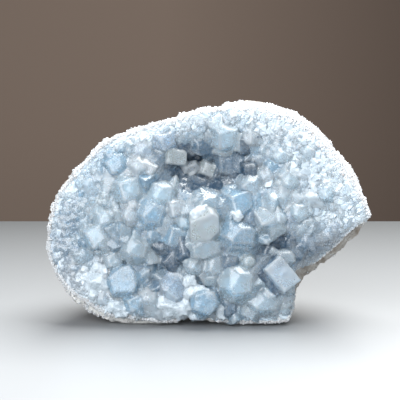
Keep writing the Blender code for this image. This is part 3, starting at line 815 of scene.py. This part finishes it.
# planes of each habit: azimuth, tilt from the axis, share
# a share under 1 cuts deeper and makes a broader face
habits = {
    "tombstone": (
        (0, 86, 0.93), (180, 86, 0.95), (-90, 84, 0.95), (-45, 84, 1.2), (-135, 84, 1.22), (90, 80, 0.97),
        (60, 80, 0.97), (120, 80, 0.97), (32, 82, 0.97), (148, 82, 0.97), (-80, 4, 0.6), (110, 44, 0.73),
        (60, 58, 0.94), (-50, 60, 1),
    ),
    "slab": (
        (0, 88, 0.9), (92, 87, 0.9), (180, 88, 0.9), (268, 87, 0.9), (20, 3, 0.6), (0, 50, 1.02), (92, 48, 1),
        (180, 50, 0.98), (268, 52, 1.02),
    ),
    "tablet": (
        (0, 88, 0.8), (90, 88, 0.84), (180, 88, 0.82), (270, 88, 0.8), (0, 2, 0.55), (180, 46, 0.66),
        (270, 52, 0.84), (90, 50, 0.92), (0, 58, 0.92), (48, 84, 0.98),
    ),
    "flatTop": (
        (10, 82, 0.92), (68, 84, 0.94), (122, 82, 0.96), (175, 84, 0.9), (248, 82, 0.94), (308, 84, 0.92),
        (30, 6, 0.62), (90, 48, 0.92), (160, 46, 0.9), (240, 52, 0.94), (340, 46, 0.93),
    ),
    "block": (
        (0, 86, 0.88), (76, 84, 0.86), (180, 86, 0.9), (256, 84, 0.86), (20, 12, 0.7), (0, 46, 0.84),
        (180, 50, 0.8), (90, 52, 0.86), (300, 44, 0.9),
    ),
    "chisel": (
        (0, 84, 0.92), (76, 84, 0.88), (180, 86, 0.92), (256, 86, 0.88), (90, 40, 0.74), (270, 42, 0.7),
        (0, 58, 0.9), (180, 62, 0.88), (40, 18, 0.94),
    ),
    "boulder": (
        (0, 84, 0.93), (50, 82, 0.94), (100, 84, 0.93), (150, 82, 0.95), (200, 84, 0.93), (250, 82, 0.94),
        (305, 84, 0.94), (30, 14, 0.82), (80, 46, 0.9), (150, 42, 0.88), (220, 48, 0.91), (290, 44, 0.88),
        (0, 50, 0.92), (115, 24, 0.86),
    ),
}

large = {
    "seed": 5,
    "clearSkin": {"voxel": 0.58, "relief": (0.16, 0.05), "edgeFrostAndHighlight": 0.7},
    "frostedSkin": {"voxel": 0.6, "relief": (0.3, 0.3), "edgeFrostAndHighlight": 0.2},
    "bevel": 0.025,                                # share of its width
    "single": ("tombstone", "tablet", "slab"),     # nothing is grown on these
    "snowParts": 8,
    "parts": 3,
    "smallParts": 1,
    "smallUnder": 7,
    # the steel and deep blue colours carry painted shade as well as the crystals' own blue
    "crystals": (
        # x, z, width, height, turn, how proud of the face, lean right, lean up, habit, colour, frost
        (-2.2, 44.7, 13.8, 15.8, 3, 3.6, 0.02, 0.02, "tombstone", "green", 0.55),
        (-5, 50.6, 6.8, 3, 38, 3.9, -0.05, 0.45, "block", "snow", 0.7),
        (30.4, 24, 10.6, 15.4, 40, 5.4, 0.06, 0.2, "slab", "pale", 0.45),
        (27.7, 21.9, 12, 15.6, 40, 2.8, -0.1, -0.1, "slab", "deepBlueAndShade", 0),
        (31, 29.6, 13, 8, 0, 1, 0.05, 0.1, "boulder", "clear", 0.3),
        (-2.4, 12, 13, 11.4, 10, 4.4, -0.05, 0.08, "flatTop", "sky", 0.2),
        (-8.2, 16.2, 5, 4, 30, 2.2, -0.15, 0.25, "block", "snow", 0.45),
        (-3, 17.2, 5, 2.8, -10, 1.8, 0, 0.35, "block", "snow", 0.45),
        (-10, 10.8, 3, 6.4, 10, 1.4, -0.2, 0.1, "chisel", "snow", 0.45),
        (5, 7.4, 2.8, 6, 10, 1, 0.15, 0.1, "chisel", "snow", 0.45),
        (-4.6, 4.6, 7, 2.4, 0, 0.6, 0, -0.1, "block", "snow", 0.45),
        (-8.2, 21, 5, 4, 15, 2.6, 0, 0.25, "block", "snow", 0.45),
        (12, 19.2, 18, 18, 0, 4.2, 0, 0.05, "boulder", "ice", 0.3),
        (16.3, 28.6, 6.6, 6, 0, 2.4, 0, 0.1, "boulder", "greyGreen", 0.3),
        (-6.9, 27, 9.6, 11, -8, 1.6, -0.05, 0.1, "boulder", "clear", 0.4),
        (2, 26, 9.6, 12, 8, 1, 0.05, 0.05, "boulder", "clear", 0.4),
        (12.2, 39.6, 19, 14.5, -8, 3.2, 0.05, 0.12, "boulder", "sky", 0.25),
        (13, 53.4, 15, 13, 12, 1.6, 0.05, 0.2, "block", "sky", 0.2),
        (11.6, 48.8, 4.4, 4, 30, 2, 0, 0.2, "block", "snow", 0.45),
        (24.4, 44.6, 11.6, 14, 8, 2.8, 0.05, -0.05, "chisel", "ice", 0.3),
        (6.5, 79, 12.6, 12, 0, 1.8, 0, -0.2, "block", "ice", 0.5),
        (14.6, 75.9, 8.4, 11, -10, -1, -0.2, -0.25, "block", "deepBlueAndShade", 0.1),
        (8.8, 68.6, 15, 14, 20, 2.4, -0.1, -0.05, "flatTop", "steelBlueAndShade", 0.05),
        (16.4, 65.6, 8.4, 9, 8, 1.5, -0.25, -0.1, "tablet", "deepBlueAndShade", 0),
        (-2.6, 74.6, 12, 8, -12, 1.5, 0.1, -0.25, "block", "steelBlueAndShade", 0),
        (-14.8, 71.6, 13.4, 8.4, -6, 1.4, 0.12, 0.05, "tablet", "greyGreen", 0.3),
        (-8, 67.6, 8.4, 6, 25, 3.4, 0.1, 0.3, "chisel", "white", 0.8),
        (-0.6, 65.8, 9.4, 7.4, -20, 2.4, 0.05, 0.1, "tablet", "greyGreen", 0.3),
        (-18.5, 78, 9.4, 8.4, 20, 0.6, 0.1, -0.05, "block", "lavender", 0.3),
        (-40.4, 69, 12, 9.6, 30, 1.2, -0.1, 0.1, "block", "sky", 0.2),
        (-29.6, 68, 8.4, 15, 32, 1.8, 0.15, 0.3, "chisel", "white", 0.5),
        (-34.4, 58.9, 15, 13, 15, 2, -0.05, 0.15, "block", "ice", 0.3),
        (-20.6, 56.5, 14, 13, 0, 1.8, 0, 0.15, "boulder", "ice", 0.4),
        (-34.2, 48.3, 7, 10.6, 5, 2.4, -0.1, 0.15, "boulder", "white", 0.7),
        (-24.8, 48.6, 14.6, 16, -12, 2.8, 0, 0.12, "boulder", "sky", 0.4),
        (-14.6, 51, 8.4, 9.4, 10, 1, 0, 0.2, "block", "white", 0.6),
        (-45, 46, 10, 10, 20, 0.6, -0.1, 0.15, "boulder", "ice", 0.4),
        (-48.6, 38.9, 13, 12, 25, 1.8, -0.15, 0.1, "block", "ice", 0.4),
        (-31.8, 33.5, 15, 13.4, -8, 3, -0.05, 0.08, "boulder", "ice", 0.3),
        (-41.6, 29, 8.4, 8, 20, 0.6, -0.1, 0.1, "block", "clear", 0.3),
        (-37, 20.4, 16, 13.4, 35, 2.6, -0.1, 0.1, "flatTop", "sky", 0.2),
        (-48.6, 20, 10.4, 13, 10, 1.2, -0.15, 0.2, "chisel", "snow", 0.45),
        (-32.2, 10.6, 9.6, 8.6, 15, 1.6, -0.05, 0.05, "block", "sky", 0.4),
        (-16.8, 9.6, 12.6, 6.4, -14, 1.8, 0.05, 0.15, "chisel", "snow", 0.45),
        (-39, 8.2, 8, 5, -20, 0.6, 0, 0.15, "chisel", "snow", 0.3),
        (-22.6, 17, 9, 9, 25, 0, 0, 0.1, "chisel", "steelBlueAndShade", 0.3),
        (-2.6, 34, 18, 9.4, 5, 2.8, 0, 0.05, "block", "ice", 0.3),
        (22.6, 10.4, 17, 11.4, -10, 2, 0.05, 0, "boulder", "clear", 0.4),
        (8.2, 8.6, 8, 9.4, 10, 0.5, 0, -0.05, "block", "steelBlueAndShade", 0.2),
        (-16.6, 28.6, 10, 10.4, 30, 0.5, 0, 0.05, "chisel", "steelBlueAndShade", 0.3),
        (-14, 38.8, 13, 12, -20, 1.2, 0.05, 0.1, "block", "sky", 0.3),
        (-24, 39.6, 9, 8, 10, 0, 0, 0.1, "boulder", "sky", 0.3),
        (34, 62, 10, 9, 15, 0, 0.1, 0.2, "boulder", "ice", 0.6),
        (42, 74, 8, 7, -20, 0, 0.15, 0.2, "boulder", "clear", 0.6),
        (38, 49, 10, 10, 10, 0, 0.1, 0.1, "boulder", "ice", 0.5),
        (50, 57, 8, 7, 40, 0, 0.15, 0.15, "boulder", "ice", 0.6),
    ),
}


# frost of each face, as one row
def faceFrost(shape, end, side, edge):
    return np.where(shape["bevel"], edge, np.where(shape["isEnd"], end, side))[None]


def makeLargeCrystals(clearMaterial, frostedMaterial):
    random = np.random.default_rng(large["seed"])
    clear, snow = Cluster(), Cluster()
    for x, z, width, height, turn, proud, leanX, leanZ, habit, colour, frost in large["crystals"]:
        snowy = colour == "snow"
        single = habit in large["single"]
        cluster = snow if snowy else clear
        narrow = min(width, height)
        length = 0.35 * max(width, height) + 4 + max(proud, 0)
        outward = np.array([leanX, -1.0, leanZ])
        outward /= np.linalg.norm(outward)
        axes = crystalAxes(outward[None], np.array([math.radians(turn)]))
        end = np.array([x, float(faceDepth(x, z)) - proud, z])
        tint = tintOf(colour)[None]
        shape = cutCrystal(habits[habit], width, height, length, large["bevel"] * narrow)
        frosts = faceFrost(shape, (0.7 if single else 0.3) * frost, frost, min(0.08 + frost, 1.0))
        cluster.addMany(shape, end[None], axes, np.ones((1, 3)), tint, frosts)
        parts = large["parts"]
        if habit == "flatTop" or narrow < large["smallUnder"]:
            parts = large["smallParts"]
        if snowy:
            parts = large["snowParts"]
        for _ in range(0 if single else parts):
            around = random.uniform(0, 2 * math.pi)
            part = random.uniform(0.3, 0.55) if snowy else random.uniform(0.5, 0.8)
            reach = 0.62 - 0.3 * part
            step = axes[0][0] * width * reach * math.cos(around)
            step = step + axes[1][0] * height * reach * math.sin(around)
            step = step - outward * random.uniform(0.08, 0.34) * narrow
            inner = cutCrystal(chancePlanes(random), width * part, height * part, length, 0.02 * narrow)
            frosts = faceFrost(inner, 0.4 * frost, frost, min(0.1 + frost, 1.0))
            cluster.addMany(inner, (end + step)[None], axes, np.ones((1, 3)), tint, frosts)
    for name, cluster, material, skin in (
        ("largeCrystals", clear, clearMaterial, "clearSkin"),
        ("largeFrosted", snow, frostedMaterial, "frostedSkin"),
    ):
        item = cluster.build(name, material)
        refine(item, large[skin])
        claim(item, "crystal_crust")


# the crystals between the large ones

fill = {
    "seed": 29,
    "shapes": 30,
    "seam": -2.0,              # the fused skin is made in two parts, left and right of this x
    "standing": 0.62,          # how far a crystal stands out of the ground, for each mm of its size
    "largeTakes": 0.88,        # room that a large crystal takes up, as a share of its size
    "coarse": (-6, 36, 39, 34),    # x, z, half width and half height of the coarse middle
    "coarseTo": (0.72, 0.95),
    "varies": (0.7, 1.35),
    "skin": {"voxel": 0.62, "relief": (0.14, 0.06), "edgeFrostAndHighlight": 0.6},
    "tiers": (
        # name, count, size in the middle, size at the rim, lean, growth, room kept, tries
        ("medium", 420, 10.5, 3.8, 0.20, 1.42, 0.31, 9000),
        ("small", 2600, 4.2, 1.9, 0.30, 1.5, 0.33, 16000),
        ("fine", 7600, 2.2, 1.0, 0.34, 1.45, 0.36, 36000),
    ),
}


# 1 in the middle, where the crystals are large, down to 0 at the rim, the top and the right
def coarseness(x, z):
    middleX, middleZ, halfWidth, halfHeight = fill["coarse"]
    middle = np.exp(-np.abs((x - middleX) / halfWidth) ** 4 - np.abs((z - middleZ) / halfHeight) ** 4)
    return middle * (1 - spread(*fill["coarseTo"], rimShare(x, z)))


# places with their own sizes, no two closer than their sizes allow
def throwDarts(random, count, sizeOf, taken, closeness, tries):
    room = np.full((count + len(taken), 3), 1e9)
    room[:len(taken)] = taken
    filled = len(taken)
    for _ in range(tries):
        angle = random.uniform(-math.pi, math.pi)
        reach = float(crustRadius(angle))
        radius = math.sqrt(random.uniform(0, 1.0)) * reach
        x, z = fromMiddle(angle, radius)
        size = sizeOf(x, z) * random.uniform(*fill["varies"])
        if size == 0:
            continue
        if z < lowestAt(x) + 0.72 * size + 2.2 * (x < -12) or reach - radius < 0.8 * size:
            continue
        near = room[:filled]
        apart = (near[:, 0] - x) ** 2 + (near[:, 1] - z) ** 2
        if (apart < (closeness * (near[:, 2] + size)) ** 2).any():
            continue
        room[filled] = (x, z, size)
        filled += 1
        if filled == len(room):
            break
    return room[len(taken):filled]


# crystals at the given places, each of one of the shapes, the white ones in the second cluster
def addScatter(clusters, random, shapes, places, lean, grow):
    x, z, size = places.T
    count = len(x)
    nearRim = spread(0.8, 1.0, rimShare(x, z))
    forward = 0.75 * nearRim[:, None]
    outward = groundNormal(x, z) * (1 - forward) + np.array([0, -1.0, 0]) * forward
    outward = outward + random.normal(0, lean, (count, 3)) * (1 - 0.5 * nearRim[:, None])
    outward /= np.linalg.norm(outward, axis=1, keepdims=True)
    turn = random.uniform(0, 2 * math.pi, count)
    stand = fill["standing"] * size * random.uniform(0.6, 1.25, count) * (1 - 0.5 * nearRim)
    end = np.stack([x, groundDepthAt(x, z), z], axis=-1) + outward * stand[:, None]
    sides = [random.uniform(*fill["varies"], count), random.uniform(*fill["varies"], count)]
    scale = grow * size[:, None] * np.stack([*sides, random.uniform(0.9, 1.3, count)], axis=-1)
    tint, deepBlueAndShade, whiteness = tintsFor(random, x, z)
    frostiness = np.clip(0.10 + 0.65 * whiteness - 0.15 * deepBlueAndShade + random.normal(0, 0.12, count), 0, 1)
    axes = crystalAxes(outward, turn)
    kinds = random.integers(0, len(shapes), count)
    white = whiteness + random.normal(0, 0.12, count) > 0.62
    for kind, shape in enumerate(shapes):
        for cluster, those in zip(clusters, (~white, white)):
            chosen = (kinds == kind) & those
            if chosen.any():
                level = frostiness[chosen][:, None]
                faces = np.where(shape["isEnd"], 0.5, 1.0)[None] * level
                frosts = np.where(shape["bevel"][None], np.clip(level + 0.12, 0, 1), faces)
                mine = [axis[chosen] for axis in axes]
                cluster.addMany(shape, end[chosen], mine, scale[chosen], tint[chosen], frosts)


def makeFill(clearMaterial, milkyMaterial, frostedMaterial):
    random = np.random.default_rng(fill["seed"])
    grown = [parallelGrowth(random, kind % 2, 2 + kind % 2) for kind in range(fill["shapes"])]
    plain = [cutCrystal(chancePlanes(random), 1, 1, 0.9) for _ in range(fill["shapes"])]
    taken = np.array([
        (row[0], row[1], fill["largeTakes"] * math.sqrt(row[2] * row[3])) for row in large["crystals"]
    ])
    frosted, left, right, fine = Cluster(), Cluster(), Cluster(), Cluster()
    for tier, count, inMiddle, atRim, lean, grow, keepClear, tries in fill["tiers"]:
        def sizeOf(x, z):
            coarse = float(coarseness(x, z))
            if tier == "medium" and coarse < random.uniform(0.05, 0.4):
                return 0.0
            return atRim + (inMiddle - atRim) * coarse * random.uniform(0.5, 1.0)

        places = throwDarts(random, count, sizeOf, taken, keepClear, tries)
        if tier == "fine":
            addScatter((fine, frosted), random, plain, places, lean, grow)
        else:
            onLeft = places[:, 0] < fill["seam"]
            for cluster, mine in ((left, onLeft), (right, ~onLeft)):
                both = (cluster, frosted if tier == "small" else cluster)
                addScatter(both, random, grown if tier == "medium" else plain, places[mine], lean, grow)
        taken = np.concatenate([taken * (1, 1, 0.85), places * (1, 1, 0.6)])
        print(tier, "crystals placed:", len(places))
    for name, cluster in (("crystalsLeft", left), ("crystalsRight", right)):
        item = cluster.build(name, clearMaterial)
        refine(item, fill["skin"])
        claim(item, "crystal_crust")
    claim(fine.build("fineCrystals", milkyMaterial), "crystal_crust")
    claim(frosted.build("frostedCrystals", frostedMaterial), "crystal_crust")


# white grains on the broken rim and over its edge onto the stone

sugar = {
    "seed": 77,
    "insideCount": 3300,       # grains on the crust along the rim
    "edgeCount": 1800,         # round its edge, over the seam with the stone
    "outsideCount": 3800,      # grains on the stone behind it
    "shapes": 14,
    "size": (0.45, 1.05),
    "bandTop": 3.0,            # width of the white band at the top right
    "bandElsewhere": 0.9,
    "broadBand": (0.0, 0.3, 0.9, 1.5),    # angles: it begins, is full, starts to end and has ended
    "lean": 0.35,
}


def sugarBand(angle):
    narrow = sugar["bandElsewhere"] * (1 - 0.9 * between(angle, form["bareUnderTip"]))
    return narrow + (sugar["bandTop"] - sugar["bandElsewhere"]) * between(angle, sugar["broadBand"])


def makeGrains(name, random, places, outward, size, material, node):
    shapes = [cutCrystal(chancePlanes(random), 1, 1, 1.0) for _ in range(sugar["shapes"])]
    count = len(places)
    outward = outward + random.normal(0, sugar["lean"], outward.shape)
    outward /= np.linalg.norm(outward, axis=1, keepdims=True)
    axes = crystalAxes(outward, random.uniform(0, 6.28, count))
    end = places + outward * (0.35 * size)[:, None]
    white = tintOf("whiteGrain")
    tint = white + (tintOf("greyGrain") - white) * random.uniform(0, 1, (count, 1)) ** 4
    # painted light: the grains are darker towards the lower left and lightest at the top right
    tint = tint * (0.74 + 0.26 * spread(-30, 20, places[:, 0]) * spread(20, 60, places[:, 2]))[:, None]
    kinds = random.integers(0, len(shapes), count)
    cluster = Cluster()
    for kind, shape in enumerate(shapes):
        mine = kinds == kind
        frosts = np.tile(np.where(shape["isEnd"], 0.1, 0.25), (mine.sum(), 1))
        scale = size[mine][:, None] * random.uniform(0.8, 1.2, (mine.sum(), 3))
        cluster.addMany(shape, end[mine], [axis[mine] for axis in axes], scale, tint[mine], frosts)
    claim(cluster.build(name, material), node)


def makeRimSugar(rind, material):
    random = np.random.default_rng(sugar["seed"])
    angle = random.uniform(-math.pi, math.pi, 5 * sugar["insideCount"])
    inBand = random.uniform(0, 1, len(angle)) < sugarBand(angle) / sugar["bandTop"]
    angle = angle[inBand][:sugar["insideCount"]]
    inward = np.abs(random.normal(0, 0.55, len(angle))) * sugarBand(angle)
    x, z = fromMiddle(angle, crustRadius(angle) - inward)
    keep = z > lowestAt(x) + 0.4
    x, z = x[keep], z[keep]
    places = np.stack([x, groundDepthAt(x, z) - 0.5, z], axis=-1)
    outward = groundNormal(x, z)
    angle = random.uniform(-math.pi, math.pi, sugar["edgeCount"])
    x, z = fromMiddle(angle, crustRadius(angle) + random.uniform(-0.3, 0.2, len(angle)))
    keep = z > lowestAt(x) + 0.6
    x, z, angle = x[keep], z[keep], angle[keep]
    through = form["seatDepth"][1] - form["groundDepth"][1]
    depth = groundDepthAt(x, z) + random.uniform(-0.2, 1.1, len(x)) * through
    around = np.stack([np.cos(angle), np.full(len(angle), -0.3), np.sin(angle)], axis=-1)
    places = np.concatenate([places, np.stack([x, depth, z], axis=-1)])
    size = random.uniform(*sugar["size"], len(places))
    outward = np.concatenate([outward, around])
    makeGrains("rimGrains", random, places, outward, size, material, "crystal_crust")

    mesh = rind.data
    centres = readAll(mesh.polygons, "center", 3) / mm
    first = readAll(mesh.polygons, "loop_start", kind=np.int32)
    corner = readAll(mesh.loops, "vertex_index", kind=np.int32)[first]
    whiteness = readAll(mesh.attributes["sugar"].data, "value")[corner]
    onRim = (rimShare(centres[:, 0], centres[:, 2]) > 0.93) & (centres[:, 2] > 3)
    weight = np.where(onRim, whiteness, 0.0) ** 1.5
    chosen = random.choice(len(weight), size=sugar["outsideCount"], p=weight / weight.sum())
    places = centres[chosen] + random.uniform(-0.45, 0.45, (len(chosen), 3))
    size = random.uniform(*sugar["size"], len(chosen)) * 0.9
    normals = readAll(mesh.polygons, "normal", 3)[chosen]
    makeGrains("rindGrains", random, places, normals, size, material, "rind")


# floor, light and camera, in m

studio = {
    "sheets": {
        # a colour that turns into another along a direction, between two places
        # the floor carries painted light: darker at the back, lighter towards the camera
        "floor": {
            "colour": (0.285, 0.295, 0.30), "farColour": (0.55, 0.56, 0.57), "direction": (0, 1, 0),
            "change": (0.25, -0.09), "roughness": 0.45,
            "corners": ((-2, -2, 0), (2, -2, 0), (2, 0.25, 0), (-2, 0.25, 0)),
        },
        "backdrop": {
            "colour": (0.355, 0.30, 0.26), "farColour": (0.245, 0.195, 0.16), "direction": (1, 0, 0),
            "change": (-0.05, 0.30), "roughness": 0.9,
            "corners": ((-2, 1.2, -1), (2, 1.2, -1), (2, 1.2, 2), (-2, 1.2, 2)),
        },
    },
    "world": (0.84, 0.87, 0.90),
    "worldStrength": 0.75,
    "lights": (
        # name, place, aims at, size, power, colour
        ("skylight", (0.20, 0.26, 0.80), (0.0, 0.0, 0.05), 0.90, 31.0, (1.0, 0.99, 0.97)),
        ("frontFill", (-0.45, -1.1, 0.66), (0.0, 0.0, 0.04), 1.30, 26.5, (0.96, 0.98, 1.0)),
    ),
    "elevation": 8.5,
    "distance": 0.60,
    "aim": (-0.0041, -0.004, 0.0514),
    "lens": 124.0,
}


def makeChangeGroup():
    group, ins, outs = newGroup("softChange", (
        ("Direction", "Vector", (1, 0, 0)), ("From", "Float", 0.0), ("To", "Float", 1.0),
        ("Color", "Color", (0.3, 0.3, 0.3, 1)), ("Far Color", "Color", (0.5, 0.5, 0.5, 1)),
    ), (("Color", "Color"),))
    place = addNode(group, "TexCoord", -1000, -300)
    along = addNode(group, "VectorMath", -500, 0, operation="DOT_PRODUCT")
    change = addNode(group, "MapRange", -250, 0)
    mix = addNode(group, "Mix", 200, 0, data_type="RGBA")
    wire(
        group,
        (place, "Object", along, 0), (ins, "Direction", along, 1), (along, "Value", change, "Value"),
        (ins, "From", change, "From Min"), (ins, "To", change, "From Max"),
        (change, "Result", mix, "Factor"), (ins, "Color", mix, "A"), (ins, "Far Color", mix, "B"),
        (mix, "Result", outs, "Color"),
    )
    return group


def addToScene(name, data):
    item = bpy.data.objects.new(name, data)
    bpy.context.scene.collection.objects.link(item)
    return item


def aimAt(item, place, target):
    item.location = place
    item.rotation_euler = (Vector(target) - item.location).to_track_quat("-Z", "Y").to_euler()


def makeStudio():
    changeGroup = makeChangeGroup()
    for name, sheet in studio["sheets"].items():
        mesh = bpy.data.meshes.new(name)
        mesh.from_pydata(sheet["corners"], [], [(0, 1, 2, 3)])
        material, tree, shader = newMaterial(name, {"Roughness": sheet["roughness"]})
        change = addNode(tree, "Group", -300, 0, {
            "Direction": sheet["direction"], "From": sheet["change"][0], "To": sheet["change"][1],
            "Color": (*linear(sheet["colour"]), 1), "Far Color": (*linear(sheet["farColour"]), 1),
        }, node_tree=changeGroup)
        wire(tree, (change, "Color", shader, "Base Color"))
        mesh.materials.append(material)
        addToScene(name, mesh)
    world = bpy.context.scene.world or bpy.data.worlds.new("World")
    bpy.context.scene.world = world
    world.use_nodes = True
    background = world.node_tree.nodes["Background"]
    background.inputs["Color"].default_value = (*linear(studio["world"]), 1)
    background.inputs["Strength"].default_value = studio["worldStrength"]
    for name, place, target, size, power, colour in studio["lights"]:
        lamp = bpy.data.lights.new(name, "AREA")
        lamp.size = size
        lamp.energy = power
        lamp.color = colour
        aimAt(addToScene(name, lamp), place, target)
    camera = bpy.data.cameras.new("camera")
    camera.lens = studio["lens"]
    item = addToScene("camera", camera)
    tilt = math.radians(studio["elevation"])
    aim = Vector(studio["aim"])
    aimAt(item, aim + Vector((0, -math.cos(tilt), math.sin(tilt))) * studio["distance"], aim)
    bpy.context.scene.camera = item
    bpy.context.scene.view_settings.view_transform = "Standard"
    print("studio ready")


makeStudio()
grainGroup = makeGrainGroup()
clear = crystalMaterial("celestiteClear", grainGroup)
milky = crystalMaterial("celestiteMilky", grainGroup)
sugarGrain = crystalMaterial("celestiteSugar", grainGroup)
print("crystal materials ready")
rind = makeRind(stoneMaterial())
makeGround(sugarGrain)
makeLargeCrystals(clear, sugarGrain)
makeFill(clear, milky, sugarGrain)
makeRimSugar(rind, sugarGrain)
